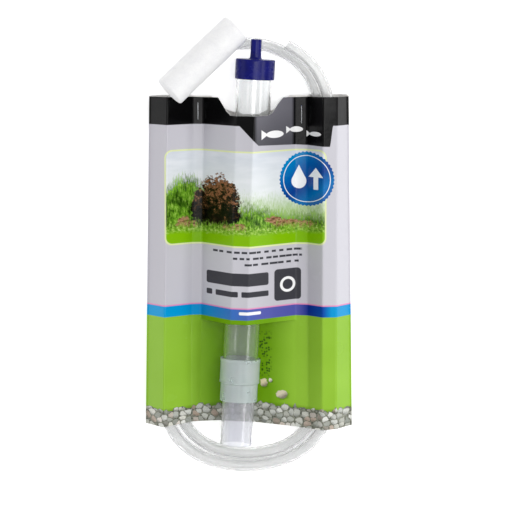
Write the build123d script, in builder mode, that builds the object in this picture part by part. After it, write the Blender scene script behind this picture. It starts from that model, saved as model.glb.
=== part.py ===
"""Gravel vacuum siphon in its retail card: intake tube with outlet cap, start valve, foot,
hose in two turns, glass-cleaning sponge, and the folded and stapled card that holds them.

Millimetres. The pack lies on its back: +Y runs along the intake towards the outlet nozzle,
+Z points out of the card's printed front, and Z = 0 is the surface the card lies on.
The origin is the middle of the pack's footprint, without the hose.
"""

import math
import os

from build123d import *

# ---- where things stand -------------------------------------------------------------
AXIS_X = -4.1  # the intake's axis, parallel to Y
AXIS_Z = 22.75
MID_Y = -21.7  # the card's mid-height, from which all lengths along the pack are counted
CARD_X = -1.5  # the card's middle
CARD_TURN = 2.88  # the card stands at this angle to the intake, in degrees

# ---- intake: tube, cap, coupling, foot ----------------------------------------------
TUBE_R = 12.15
TUBE_WALL = 1.4
TUBE_Y = (-78.0, 133.7)
FIT = 0.05  # clearance of the push fits
TUBE_CHAMFER = 0.3  # on the ends of the tube and the foot

CAP_R = 13.75
CAP_Y = (128.2, 142.2)
CAP_TOP = 2.0  # thickness of the cap's end wall
CAP_ROUND = 1.6  # its upper edge
CAP_RIM_ROUND = 0.5
GRILLE_THICK = 1.5
GRILLE_RIM = 2.0
GRILLE_BARS = 5
GRILLE_BAR = 1.2
GRILLE_PITCH = 4.0
NOZZLE_R = 3.75
NOZZLE_BORE_R = 2.6
NOZZLE_Y = 156.0
NOZZLE_PIN_Y = (145.0, 154.5)  # its plain cylindrical stretch
NOZZLE_FOOT_R = 4.3
NOZZLE_LEAD = 0.35  # taper at its tip, on the radius

SLEEVE_R = 14.0  # upper ring of the coupling
SLEEVE_LOW_R = 13.0
SLEEVE_Y = (-96.0, -83.0, -66.0)  # lower end, step between the rings, upper end
SLEEVE_ROUNDS = (0.6, 0.8)  # its lower and its upper outer edge
SEAT_Y = -88.0
SHELF_R = 10.4  # hole in the shelf between the foot and the valve seat
FOOT_R = 11.25
FOOT_WALL = 1.3
FOOT_Y = (-127.0, -89.0)

VALVE_R = 11.2  # outside of the seat ring and of the cage ring
SEAT_THICK = 1.6
SEAT_HOLE_R = 7.4
PLATE_R = 8.6
PLATE_THICK = 1.0
PLATE_GAP = 0.02  # between the plate and its seat
STEM_R = 1.5
STEM_FIT = 0.06
STEM_TOP_Y = -78.2
CAGE_THICK = 1.4
CAGE_RIM = 1.6
CAGE_HUB = 1.4  # wall round the stem

# ---- sponge ----------------------------------------------------------------------------
SPONGE_R = 11.5
SPONGE_ROUND = 1.2
SPONGE_LOW = (-54.7, 119.7, 33.4)  # centres of its two ends, on the card's axes
SPONGE_HIGH = (-8.9, 163.4, 21.6)

# ---- hose ------------------------------------------------------------------------------
HOSE_R = 4.25
HOSE_BORE_R = 2.75
HOSE_LIE = 4.4  # height of its centre on the floor
HOSE_IN = 4.95  # and on the card's back

# The route, on the card's axes: from the bare end at the upper right down the right channel,
# round the bottom, up the left, over the top behind the nozzle, and once more round to the
# other bare end in the left channel.
HOSE_ROUTE = [
    (26.0, 151.4, 13.1),
    (37.4, 144.4, 13.4),
    (47.2, 133.6, 13.4),
    (54.0, 118.6, 12.6),
    (57.8, 98.0, 9.4),
    (58.6, 64.0, HOSE_IN),
    (58.3, 8.0, HOSE_IN),
    (58.9, -44.0, HOSE_IN),
    (58.5, -80.0, HOSE_IN),
    (57.0, -104.0, HOSE_IN),
    (49.4, -124.2, 4.7),
    (33.2, -137.8, HOSE_LIE),
    (11.8, -144.7, HOSE_LIE),
    (-10.6, -145.5, HOSE_LIE),
    (-32.4, -140.4, HOSE_LIE),
    (-50.4, -127.6, 4.7),
    (-59.0, -109.0, HOSE_IN),
    (-59.8, -86.0, HOSE_IN),
    (-59.0, -50.0, HOSE_IN),
    (-58.6, -2.0, HOSE_IN),
    (-57.6, 44.0, HOSE_IN),
    (-58.0, 80.0, HOSE_IN),
    (-55.6, 106.0, HOSE_IN),
    (-46.8, 129.0, 4.6),
    (-30.8, 145.6, HOSE_LIE),
    (-9.0, 153.2, HOSE_LIE),
    (14.0, 151.6, HOSE_LIE),
    (34.0, 141.4, HOSE_LIE),
    (46.8, 123.4, 4.7),
    (50.6, 100.0, HOSE_IN),
    (49.4, 64.0, HOSE_IN),
    (49.8, 10.0, HOSE_IN),
    (49.4, -40.0, HOSE_IN),
    (49.8, -79.7, HOSE_IN),
    (48.6, -101.5, HOSE_IN),
    (41.6, -118.8, 4.7),
    (27.4, -130.6, HOSE_LIE),
    (9.5, -136.0, HOSE_LIE),
    (-8.4, -136.7, HOSE_LIE),
    (-26.3, -132.8, HOSE_LIE),
    (-41.8, -121.6, 4.7),
    (-50.6, -104.8, HOSE_IN),
    (-51.2, -86.0, HOSE_IN),
    (-49.5, -42.0, HOSE_IN),
    (-49.9, 6.0, HOSE_IN),
    (-48.9, 48.0, HOSE_IN),
    (-48.6, 84.0, HOSE_IN),
]
ARC_SHARE = 0.45  # share of the shorter run that each bend takes up

# ---- card ------------------------------------------------------------------------------
SHEET = 0.5  # the card's thickness, measured straight up
PAST = 8.0  # the folded sheets are made this much too long, then cut to their outlines
ABOVE = 60.0  # and they are cut from the floor to this height
BED = -0.02  # the back's lowest folds reach this low, so that the cut leaves them flat
TOP_Y = 115.0
BOTTOM_Y = -115.0
SLIT_Y = -40.3  # below this slit the middle of the front sheet is pushed back

# Fold lines as (x, z) from left to right, at TOP_Y and at BOTTOM_Y.
LEFT_TOP = [(-69.4, 9.5), (-68.4, 9.5), (-56.2, 25.0), (-38.7, 8.0), (-31.3, 8.0)]
LEFT_BOTTOM = [(-72.7, 9.5), (-71.7, 9.5), (-59.8, 26.5), (-41.2, 10.4), (-34.7, 8.0)]
RIGHT_TOP = [(32.1, 8.0), (40.4, 8.0), (51.1, 25.0), (61.1, 24.0), (68.4, 9.5), (69.4, 9.5)]
RIGHT_BOTTOM = [(33.0, 14.0), (41.4, 17.0), (51.1, 26.5), (60.9, 25.0), (71.4, 9.5), (72.4, 9.5)]
TENT_TOP = [(-8.5, 36.5), (4.3, 43.5)]
TENT_BOTTOM = [(-14.5, 41.5), (-3.5, 43.5)]
TRAY = [(-33.0, 8.0), (3.0, 8.0)]
BACK_TOP = [(-69.4, 9.0), (-68.4, 9.0), (-63.5, BED), (-44.5, BED), (-38.7, 7.5)]
BACK_TOP += [(40.4, 7.5), (44.0, BED), (63.5, BED), (68.4, 9.0), (69.4, 9.0)]
BACK_BOTTOM = [(-72.7, 9.0), (-71.7, 9.0), (-66.5, BED), (-40.0, BED), (-36.8, 7.5)]
BACK_BOTTOM += [(30.0, 7.5), (33.0, BED), (64.0, BED), (71.4, 9.0), (72.4, 9.0)]

NOTCH = [(22.9, 116.3), (15.2, 103.4), (-13.7, 103.4), (-21.4, 116.3)]
FRONT_OUTLINE = [
    (-80.0, 115.4), (-80.0, -114.0), (-72.6, -114.1), (-59.7, -114.3), (-41.6, -112.9),
    (-19.1, -112.2), (2.8, -113.3), (41.4, -116.4), (51.0, -116.4), (60.8, -115.7),
    (72.2, -115.1), (80.0, -115.1), (80.0, 115.4), (61.1, 116.0), (51.1, 116.0), (32.0, 115.3),
    *NOTCH, (-31.3, 115.3), (-56.2, 116.0),
]
BACK_OUTLINE = [(-80.0, 116.2), (-80.0, -112.0), (80.0, -112.0), (80.0, 117.2), *NOTCH]

# ---- staples ---------------------------------------------------------------------------
STAPLE_WIRE = 0.5
STAPLE_LONG = 12.3
STAPLE_CLINCH = 4.6
STAPLE_LEFT = (-35.5, 105.6)  # middle of each, on the card's axes
STAPLE_RIGHT = (36.6, 103.2)

# ---- planes ----------------------------------------------------------------------------
# On INTAKE, x is the distance from the intake's axis and y the length along it.
INTAKE = Plane(origin=(AXIS_X, MID_Y, AXIS_Z), x_dir=(1, 0, 0), z_dir=(0, 0, 1))
AXIS = Axis((AXIS_X, MID_Y, AXIS_Z), (0, 1, 0))
TURN = math.radians(CARD_TURN)
CARD = Plane(
    origin=(CARD_X, MID_Y + 0.13, 0),
    x_dir=(math.cos(TURN), math.sin(TURN), 0),
    z_dir=(0, 0, 1),
)


def on_card(x, y, z):
    """The point of the model at x, y, z on the card's axes."""
    return CARD.from_local_coords(Vector(x, y, z))


def across_intake(y):
    """The plane across the intake's axis at y, facing the nozzle."""
    return Plane(origin=(AXIS_X, MID_Y + y, AXIS_Z), x_dir=(1, 0, 0), z_dir=(0, 1, 0))


def across_card(y):
    """The plane across the card at y: its x is the card's x, its y is up."""
    down = (math.sin(TURN), -math.cos(TURN), 0)
    return Plane(origin=on_card(0, y, 0), x_dir=CARD.x_dir, z_dir=down)


def between(top, bottom, y):
    """The fold lines at y, on straight lines through those at TOP_Y and BOTTOM_Y."""
    share = (y - BOTTOM_Y) / (TOP_Y - BOTTOM_Y)
    return [
        (b[0] + (t[0] - b[0]) * share, b[1] + (t[1] - b[1]) * share)
        for t, b in zip(top, bottom, strict=True)
    ]


def folded_face(folds, y):
    """The folded sheet's cut end at y, as a sketch."""
    under = [(x, z) for x, z in folds]
    over = [(x, z + SHEET) for x, z in reversed(folds)]
    with BuildSketch(across_card(y)) as face:
        with BuildLine():
            Polyline(*under, *over, close=True)
        make_face()
    return face.sketch


def half_section(points):
    """The closed outline of (radius, y) points, beside the intake's axis."""
    with BuildSketch(INTAKE) as half:
        with BuildLine():
            Polyline(*points, close=True)
        make_face()
    return half.sketch


# ---- intake tube -----------------------------------------------------------------------
with BuildPart() as intake_tube:
    with BuildSketch(across_intake(TUBE_Y[0])):
        Circle(TUBE_R)
        Circle(TUBE_R - TUBE_WALL, mode=Mode.SUBTRACT)
    extrude(amount=TUBE_Y[1] - TUBE_Y[0])
    chamfer(intake_tube.edges().filter_by(GeomType.CIRCLE), TUBE_CHAMFER)

# ---- outlet cap with its nozzle -----------------------------------------------------------
CAP_BORE_R = TUBE_R + FIT
ROOF_Y = CAP_Y[1] - CAP_TOP
with BuildPart() as outlet_cap:
    cap_half = half_section(
        [
            (CAP_BORE_R, CAP_Y[0]),
            (CAP_R, CAP_Y[0]),
            (CAP_R, CAP_Y[1]),
            (NOZZLE_FOOT_R, CAP_Y[1]),
            (NOZZLE_R, NOZZLE_PIN_Y[0]),
            (NOZZLE_R, NOZZLE_PIN_Y[1]),
            (NOZZLE_R - NOZZLE_LEAD, NOZZLE_Y),
            (NOZZLE_BORE_R, NOZZLE_Y),
            (NOZZLE_BORE_R, ROOF_Y),
            (CAP_BORE_R, ROOF_Y),
        ]
    )
    revolve(cap_half, axis=AXIS)
    rim = outlet_cap.edges().filter_by(GeomType.CIRCLE)
    rim = rim.filter_by(lambda e: abs(e.radius - CAP_R) < 0.01)
    fillet(rim.sort_by(Axis.Y)[-1], CAP_ROUND)
    fillet(rim.sort_by(Axis.Y)[0], CAP_RIM_ROUND)

# ---- guard grille, inside the cap above the tube's end ------------------------------------
with BuildPart() as guard_grille:
    with BuildSketch(across_intake(TUBE_Y[1] + FIT)):
        Circle(CAP_BORE_R)
        Circle(CAP_BORE_R - GRILLE_RIM, mode=Mode.SUBTRACT)
        with GridLocations(GRILLE_PITCH, 0, GRILLE_BARS, 1):
            Rectangle(GRILLE_BAR, 2 * CAP_BORE_R)
        Rectangle(2 * CAP_BORE_R, GRILLE_BAR)
        with BuildSketch(mode=Mode.INTERSECT):
            Circle(CAP_BORE_R)
    extrude(amount=GRILLE_THICK)

# ---- coupling sleeve ------------------------------------------------------------------------
UPPER_BORE = TUBE_R + FIT
LOWER_BORE = FOOT_R + FIT
with BuildPart() as coupling_sleeve:
    sleeve_half = half_section(
        [
            (LOWER_BORE, SLEEVE_Y[0]),
            (SLEEVE_LOW_R, SLEEVE_Y[0]),
            (SLEEVE_LOW_R, SLEEVE_Y[1]),
            (SLEEVE_R, SLEEVE_Y[1]),
            (SLEEVE_R, SLEEVE_Y[2]),
            (UPPER_BORE, SLEEVE_Y[2]),
            (UPPER_BORE, TUBE_Y[0] - FIT),
            (VALVE_R, TUBE_Y[0] - FIT),
            (VALVE_R, SEAT_Y),
            (SHELF_R, SEAT_Y),
            (SHELF_R, FOOT_Y[1] + FIT),
            (LOWER_BORE, FOOT_Y[1] + FIT),
        ]
    )
    revolve(sleeve_half, axis=AXIS)
    outer = coupling_sleeve.edges().filter_by(GeomType.CIRCLE)
    outer = outer.filter_by(lambda e: e.radius > SLEEVE_LOW_R - 0.01)
    fillet(outer.sort_by(Axis.Y)[-1], SLEEVE_ROUNDS[1])
    fillet(outer.sort_by(Axis.Y)[0], SLEEVE_ROUNDS[0])

# ---- start valve: seat, plate and cage ------------------------------------------------------
with BuildPart() as valve_seat:
    with BuildSketch(across_intake(SEAT_Y)):
        Circle(VALVE_R)
        Circle(SEAT_HOLE_R, mode=Mode.SUBTRACT)
    extrude(amount=SEAT_THICK)

PLATE_Y = SEAT_Y + SEAT_THICK + PLATE_GAP
with BuildPart() as valve_plate:
    with BuildSketch(across_intake(PLATE_Y)):
        Circle(PLATE_R)
    extrude(amount=PLATE_THICK)
    with BuildSketch(across_intake(PLATE_Y)):
        Circle(STEM_R)
    extrude(amount=STEM_TOP_Y - PLATE_Y)

with BuildPart() as valve_cage:
    with BuildSketch(across_intake(TUBE_Y[0] - FIT - CAGE_THICK)):
        Circle(VALVE_R)
        Circle(VALVE_R - CAGE_RIM, mode=Mode.SUBTRACT)
        Rectangle(2 * VALVE_R - CAGE_RIM, CAGE_RIM)
        Rectangle(CAGE_RIM, 2 * VALVE_R - CAGE_RIM)
        Circle(STEM_R + CAGE_HUB)
        Circle(STEM_R + STEM_FIT, mode=Mode.SUBTRACT)
    extrude(amount=CAGE_THICK)

# ---- foot tube --------------------------------------------------------------------------------
with BuildPart() as foot_tube:
    with BuildSketch(across_intake(FOOT_Y[0])):
        Circle(FOOT_R)
        Circle(FOOT_R - FOOT_WALL, mode=Mode.SUBTRACT)
    extrude(amount=FOOT_Y[1] - FOOT_Y[0])
    mouth = foot_tube.edges().filter_by(GeomType.CIRCLE).sort_by(Axis.Y)[:2]
    chamfer(mouth, TUBE_CHAMFER)

# ---- sponge -------------------------------------------------------------------------------------
low = on_card(*SPONGE_LOW)
high = on_card(*SPONGE_HIGH)
with BuildPart() as cleaning_sponge:
    with BuildSketch(Plane(origin=low, z_dir=high - low)):
        Circle(SPONGE_R)
    extrude(amount=(high - low).length)
    fillet(cleaning_sponge.edges().filter_by(GeomType.CIRCLE), SPONGE_ROUND)

# ---- hose ---------------------------------------------------------------------------------------
route = [on_card(*p) for p in HOSE_ROUTE]
runs = [(b - a) for a, b in zip(route, route[1:])]
bends = []
for a, b in zip(runs, runs[1:]):
    turn = math.radians(a.get_angle(b))
    bends.append(ARC_SHARE * min(a.length, b.length) / math.tan(turn / 2))
with BuildPart() as hose:
    with BuildLine() as path:
        FilletPolyline(*route, radius=bends)
    with BuildSketch(Plane(origin=path.line @ 0, z_dir=path.line % 0)):
        Circle(HOSE_R)
        Circle(HOSE_BORE_R, mode=Mode.SUBTRACT)
    sweep(path=path.line)

# ---- card: front and back sheets --------------------------------------------------------------
high_y = TOP_Y + PAST
low_y = BOTTOM_Y - PAST
upper = (LEFT_TOP + TENT_TOP + RIGHT_TOP, LEFT_BOTTOM + TENT_BOTTOM + RIGHT_BOTTOM)
lower = (LEFT_TOP + TRAY + RIGHT_TOP, LEFT_BOTTOM + TRAY + RIGHT_BOTTOM)
with BuildPart() as card_front:
    for folds, ends in ((upper, (high_y, SLIT_Y)), (lower, (SLIT_Y, low_y))):
        loft([folded_face(between(*folds, y), y) for y in ends], ruled=True)
    with BuildSketch(CARD):
        with BuildLine():
            Polyline(*FRONT_OUTLINE, close=True)
        make_face()
    extrude(amount=ABOVE, mode=Mode.INTERSECT)

with BuildPart() as card_back:
    loft([folded_face(between(BACK_TOP, BACK_BOTTOM, y), y) for y in (high_y, low_y)], ruled=True)
    with BuildSketch(CARD):
        with BuildLine():
            Polyline(*BACK_OUTLINE, close=True)
        make_face()
    extrude(amount=ABOVE, mode=Mode.INTERSECT)


# ---- staples --------------------------------------------------------------------------------------
def staple(x, y, crown_z):
    """A closed staple through both sheets, its crown at crown_z and its legs bent in behind."""
    leg_y = STAPLE_LONG / 2 - STAPLE_WIRE / 2
    under_z = BACK_TOP[4][1] - STAPLE_WIRE / 2
    leg = crown_z - under_z + STAPLE_WIRE
    clinch_y = leg_y + STAPLE_WIRE / 2 - STAPLE_CLINCH / 2
    middle = CARD.location * Location((x, y, 0))
    with BuildPart() as wire:
        with Locations(middle * Location((0, 0, crown_z))):
            Box(STAPLE_WIRE, STAPLE_LONG, STAPLE_WIRE)
        for side in (-1, 1):
            with Locations(middle * Location((0, side * leg_y, (crown_z + under_z) / 2))):
                Box(STAPLE_WIRE, STAPLE_WIRE, leg)
            with Locations(middle * Location((0, side * clinch_y, under_z))):
                Box(STAPLE_WIRE, STAPLE_CLINCH, STAPLE_WIRE)
    return wire


left_crown = LEFT_TOP[3][1] + SHEET + STAPLE_WIRE / 2
rise = between(RIGHT_TOP, RIGHT_BOTTOM, STAPLE_RIGHT[1] - STAPLE_LONG / 2)
staple_left = staple(*STAPLE_LEFT, left_crown)
staple_right = staple(*STAPLE_RIGHT, rise[1][1] + SHEET + STAPLE_WIRE / 2)

# ---- write ------------------------------------------------------------------------------------------
os.makedirs("parts", exist_ok=True)
intake_tube.part.label = "intake_tube"
export_step(intake_tube.part, "parts/intake_tube.step")
outlet_cap.part.label = "outlet_cap"
export_step(outlet_cap.part, "parts/outlet_cap.step")
guard_grille.part.label = "guard_grille"
export_step(guard_grille.part, "parts/guard_grille.step")
coupling_sleeve.part.label = "coupling_sleeve"
export_step(coupling_sleeve.part, "parts/coupling_sleeve.step")
valve_seat.part.label = "valve_seat"
export_step(valve_seat.part, "parts/valve_seat.step")
valve_plate.part.label = "valve_plate"
export_step(valve_plate.part, "parts/valve_plate.step")
valve_cage.part.label = "valve_cage"
export_step(valve_cage.part, "parts/valve_cage.step")
foot_tube.part.label = "foot_tube"
export_step(foot_tube.part, "parts/foot_tube.step")
cleaning_sponge.part.label = "cleaning_sponge"
export_step(cleaning_sponge.part, "parts/cleaning_sponge.step")
hose.part.label = "hose"
export_step(hose.part, "parts/hose.step")
card_front.part.label = "card_front"
export_step(card_front.part, "parts/card_front.step")
card_back.part.label = "card_back"
export_step(card_back.part, "parts/card_back.step")
staple_left.part.label = "staple_left"
export_step(staple_left.part, "parts/staple_left.step")
staple_right.part.label = "staple_right"
export_step(staple_right.part, "parts/staple_right.step")

length = sum(edge.length for edge in path.edges())
section = math.pi * (HOSE_R**2 - HOSE_BORE_R**2)
print("hose length", round(length, 1), "bend radii", [round(r) for r in bends])
print("hose volume over section times length", round(hose.part.volume / (section * length), 4))
dry = [intake_tube, outlet_cap, foot_tube, coupling_sleeve, cleaning_sponge, card_front, card_back]
box = Compound([p.part for p in dry]).bounding_box()
print("footprint middle", round(box.center().X, 2), round(box.center().Y, 2), "size", box.size)
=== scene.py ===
"""Looks for the gravel vacuum siphon in its retail card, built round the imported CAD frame."""

import math

import bmesh
import bpy
import numpy as np
from mathutils import Matrix, Vector, noise


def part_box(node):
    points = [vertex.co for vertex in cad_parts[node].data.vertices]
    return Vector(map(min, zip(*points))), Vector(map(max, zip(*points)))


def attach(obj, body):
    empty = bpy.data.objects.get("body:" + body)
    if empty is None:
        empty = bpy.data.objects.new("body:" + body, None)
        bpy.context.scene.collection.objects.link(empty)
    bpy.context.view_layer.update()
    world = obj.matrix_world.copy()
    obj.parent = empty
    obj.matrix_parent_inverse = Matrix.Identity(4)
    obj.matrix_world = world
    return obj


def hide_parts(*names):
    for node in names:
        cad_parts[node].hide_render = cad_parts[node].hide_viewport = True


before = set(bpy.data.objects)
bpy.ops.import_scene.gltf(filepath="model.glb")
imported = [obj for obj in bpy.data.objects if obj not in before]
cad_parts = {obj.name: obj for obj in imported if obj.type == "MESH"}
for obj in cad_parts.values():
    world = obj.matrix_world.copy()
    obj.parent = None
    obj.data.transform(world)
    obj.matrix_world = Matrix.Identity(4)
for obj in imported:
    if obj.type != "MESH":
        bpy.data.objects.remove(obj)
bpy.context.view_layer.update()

MM = 0.001

# ---- places, in millimetres, as in the CAD ---------------------------------------------
tube_low, tube_high = (Vector(c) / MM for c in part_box("intake_tube"))
AXIS_X = (tube_low.x + tube_high.x) / 2
AXIS_Z = (tube_low.z + tube_high.z) / 2
MID_Y = -21.7  # the intake pieces' lengths are counted from here
CARD_X = -1.5  # the card's own axes start here
CARD_Y = MID_Y + 0.13
TURN = math.radians(2.88)  # of the card's axes, about the vertical
HOSE_R = 4.25
HOSE_BORE_R = 2.75
HOSE_LIE = 4.4  # height of its middle where it lies on the floor
HOSE_IN = 4.95  # and inside the card's channels


def on_card(x, y, z=0.0):
    """The point in metres at x, y, z millimetres on the card's axes."""
    c, s = math.cos(TURN), math.sin(TURN)
    return Vector((CARD_X + c * x - s * y, CARD_Y + s * x + c * y, z)) * MM


# ---- small helpers ---------------------------------------------------------------------
CORNER_SHARE = 0.42  # of a run, at most, taken up by the rounding at each of its ends
MIX_A, MIX_B, MIX_RESULT = 6, 7, 2  # the colour sockets of a mix node


def srgb(r, g, b):
    """A linear colour from one written as 0 to 255."""

    def linear(v):
        v /= 255
        return v / 12.92 if v <= 0.04045 else ((v + 0.055) / 1.055) ** 2.4

    return (linear(r), linear(g), linear(b), 1.0)


def add_object(name, mesh, body, nodes=(), smooth=None):
    """Links a mesh in metres as a piece that rides on a body and stands for CAD nodes."""
    mesh.validate()
    mesh.update()
    ob = bpy.data.objects.new(name, mesh)
    bpy.context.scene.collection.objects.link(ob)
    if smooth is not None:
        mesh.shade_smooth()
        mesh.set_sharp_from_angle(angle=math.radians(smooth))
    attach(ob, body)
    if nodes:
        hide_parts(*nodes)
    return ob


def mesh_from(name, points, faces):
    mesh = bpy.data.meshes.new(name)
    mesh.from_pydata([tuple(p) for p in points], [], faces)
    return mesh


def soften(points, radius, steps=4, closed=False, pad=0.08):
    """The outline with each corner rounded over up to radius, and a support point by each arc."""
    points = [Vector(p) for p in points]
    count = len(points)
    out = []
    for i, p in enumerate(points):
        if not closed and i in (0, count - 1):
            out.append(p.copy())
            continue
        to_last, to_next = points[i - 1] - p, points[(i + 1) % count] - p
        cut = min(radius, CORNER_SHARE * to_last.length, CORNER_SHARE * to_next.length)
        a, b = p + to_last.normalized() * cut, p + to_next.normalized() * cut
        out.append(a + to_last.normalized() * min(pad, 0.1 * cut))
        for k in range(steps + 1):
            t = k / steps
            out.append(a * (1 - t) ** 2 + p * (2 * t * (1 - t)) + b * t**2)
        out.append(b + to_next.normalized() * min(pad, 0.1 * cut))
    return out


def lathe(name, profile, turns=96):
    """A closed mesh from a closed outline of (radius, y) in millimetres about the intake's axis."""
    rows = len(profile)
    points = []
    for k in range(turns):
        a = 2 * math.pi * k / turns
        for r, y in profile:
            points.append(
                (
                    (AXIS_X + r * math.cos(a)) * MM,
                    (MID_Y + y) * MM,
                    (AXIS_Z + r * math.sin(a)) * MM,
                )
            )
    faces = []
    for k in range(turns):
        n = (k + 1) % turns
        for i in range(rows):
            j = (i + 1) % rows
            faces.append((k * rows + i, k * rows + j, n * rows + j, n * rows + i))
    mesh = mesh_from(name, points, faces)
    outward(mesh)
    return mesh


def outward(mesh):
    """Turns the faces of a closed mesh outward."""
    bm = bmesh.new()
    bm.from_mesh(mesh)
    bmesh.ops.recalc_face_normals(bm, faces=bm.faces)
    bm.to_mesh(mesh)
    bm.free()


# ---- node helpers ----------------------------------------------------------------------
class Nodes:
    """Short names for building a material's nodes."""

    def __init__(self, name):
        self.mat = bpy.data.materials.new(name)
        self.mat.use_nodes = True
        self.tree = self.mat.node_tree
        self.shader = self.tree.nodes["Principled BSDF"]

    def add(self, kind, **values):
        node = self.tree.nodes.new(kind)
        for key, value in values.items():
            setattr(node, key, value)
        return node

    def put(self, value, socket):
        if isinstance(value, bpy.types.NodeSocket):
            self.tree.links.new(value, socket)
        else:
            socket.default_value = value

    def math(self, kind, a, b=0.0, c=None, clamp=False):
        node = self.add("ShaderNodeMath", operation=kind, use_clamp=clamp)
        self.put(a, node.inputs[0])
        self.put(b, node.inputs[1])
        if c is not None:
            self.put(c, node.inputs[2])
        return node.outputs[0]

    def length(self, dx, dy):
        squares = [self.math("MULTIPLY", d, d) for d in (dx, dy)]
        return self.math("SQRT", self.math("ADD", *squares))

    def sway(self, value, amount):
        """A texture's value as a shift of up to half the amount each way."""
        return self.math("MULTIPLY", self.math("SUBTRACT", value, 0.5), amount)

    def all(self, *masks):
        out = masks[0]
        for m in masks[1:]:
            out = self.math("MULTIPLY", out, m)
        return out

    def any(self, *masks):
        out = masks[0]
        for m in masks[1:]:
            out = self.math("MAXIMUM", out, m)
        return out

    def remap(self, value, low, high, to_low=0.0, to_high=1.0, smooth=False):
        node = self.add("ShaderNodeMapRange", clamp=True)
        if smooth:
            node.interpolation_type = "SMOOTHSTEP"
        for key, v in zip(
            ("Value", "From Min", "From Max", "To Min", "To Max"),
            (value, low, high, to_low, to_high),
            strict=True,
        ):
            self.put(v, node.inputs[key])
        return node.outputs["Result"]

    def above(self, value, edge, soft=0.15):
        return self.remap(self.math("SUBTRACT", value, edge), -soft, soft)

    def below(self, value, edge, soft=0.15):
        return self.remap(self.math("SUBTRACT", value, edge), soft, -soft)

    def band(self, value, low, high, soft=0.15):
        return self.all(self.above(value, low, soft), self.below(value, high, soft))

    def mix(self, mask, under, over, blend="MIX"):
        node = self.add("ShaderNodeMix", data_type="RGBA", blend_type=blend)
        self.put(mask, node.inputs["Factor"])
        self.put(under, node.inputs[MIX_A])
        self.put(over, node.inputs[MIX_B])
        return node.outputs[MIX_RESULT]

    def multiply(self, factor, under, over):
        return self.mix(factor, under, over, "MULTIPLY")

    def ramp(self, value, stops):
        """Colours at places from 0 to 1."""
        node = self.add("ShaderNodeValToRGB")
        ends = node.color_ramp.elements
        while len(ends) < len(stops):
            ends.new(0.5)
        for end, (at, colour) in zip(ends, stops, strict=True):
            end.position = at
            end.color = colour
        self.put(value, node.inputs["Fac"])
        return node.outputs["Color"]

    def noise(self, vector, scale, detail=3.0, rough=0.5, out="Fac"):
        node = self.add("ShaderNodeTexNoise", noise_dimensions="3D")
        self.put(vector, node.inputs["Vector"])
        node.inputs["Scale"].default_value = scale
        node.inputs["Detail"].default_value = detail
        node.inputs["Roughness"].default_value = rough
        return node.outputs[out]

    def voronoi(self, vector, scale, feature="F1", dims="2D"):
        node = self.add("ShaderNodeTexVoronoi", voronoi_dimensions=dims, feature=feature)
        self.put(vector, node.inputs["Vector"])
        node.inputs["Scale"].default_value = scale
        node.inputs["Randomness"].default_value = 1.0
        return node

    def bump(self, height, distance, strength=1.0, after=None):
        node = self.add("ShaderNodeBump")
        self.put(height, node.inputs["Height"])
        node.inputs["Distance"].default_value = distance
        node.inputs["Strength"].default_value = strength
        if after is not None:
            self.put(after, node.inputs["Normal"])
        return node.outputs["Normal"]

    def coords(self):
        return self.add("ShaderNodeTexCoord").outputs["Object"]

    def card_coords(self):
        """Millimetres on the card's axes."""
        node = self.add("ShaderNodeMapping", vector_type="TEXTURE")
        self.put(self.coords(), node.inputs["Vector"])
        node.inputs["Location"].default_value = on_card(0, 0, 0)
        node.inputs["Rotation"].default_value = (0, 0, TURN)
        node.inputs["Scale"].default_value = (MM, MM, MM)
        return node.outputs["Vector"]

    def xyz(self, vector):
        node = self.add("ShaderNodeSeparateXYZ")
        self.put(vector, node.inputs[0])
        return node.outputs[0], node.outputs[1], node.outputs[2]

    def vector(self, x, y, z=0.0):
        node = self.add("ShaderNodeCombineXYZ")
        for value, socket in zip((x, y, z), node.inputs, strict=True):
            self.put(value, socket)
        return node.outputs[0]

    def set(self, **values):
        """Sets the shader's own sockets, by name with _ for a space."""
        for key, value in values.items():
            self.put(value, self.shader.inputs[key.replace("_", " ")])
        return self.mat


# ---- materials of plastics, foam, wire -------------------------------------------------
def clear_plastic(name, tint, clear, rough):
    """Clear moulded tube: faint flow marks and fine scuffs, and a slight haze."""
    n = Nodes(name)
    at = n.coords()
    x, y, z = n.xyz(at)
    flow = n.noise(n.vector(x, n.math("MULTIPLY", y, 0.12), z), 90, 3)
    n.set(
        Base_Color=n.mix(n.remap(flow, 0.3, 0.7), tint, srgb(254, 254, 254)),
        Transmission_Weight=clear,
        IOR=1.42,
        Roughness=n.remap(flow, 0.35, 0.7, rough, rough + 0.04),
        Normal=n.bump(flow, 0.0001, 0.015),
    )
    return n.mat


def milky_plastic():
    """Translucent polyethylene with a soft mottle."""
    n = Nodes("milky_plastic")
    at = n.coords()
    cloud = n.noise(at, 120, 3)
    n.set(
        Base_Color=n.ramp(cloud, [(0.3, srgb(232, 244, 243)), (0.7, srgb(243, 250, 250))]),
        Transmission_Weight=0.66,
        IOR=1.4,
        Roughness=n.remap(cloud, 0.3, 0.7, 0.26, 0.34),
    )
    return n.mat


def blue_plastic():
    """Deep navy moulding with a fine satin grain."""
    n = Nodes("blue_plastic")
    at = n.coords()
    grain = n.noise(at, 1800, 3)
    cloud = n.noise(at, 140, 3)
    n.set(
        Base_Color=n.ramp(cloud, [(0.3, srgb(4, 8, 92)), (0.75, srgb(8, 14, 112))]),
        Roughness=n.remap(cloud, 0.3, 0.7, 0.22, 0.3),
        Specular_IOR_Level=0.2,
        Normal=n.bump(grain, 0.00012, 0.35),
    )
    return n.mat


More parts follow.
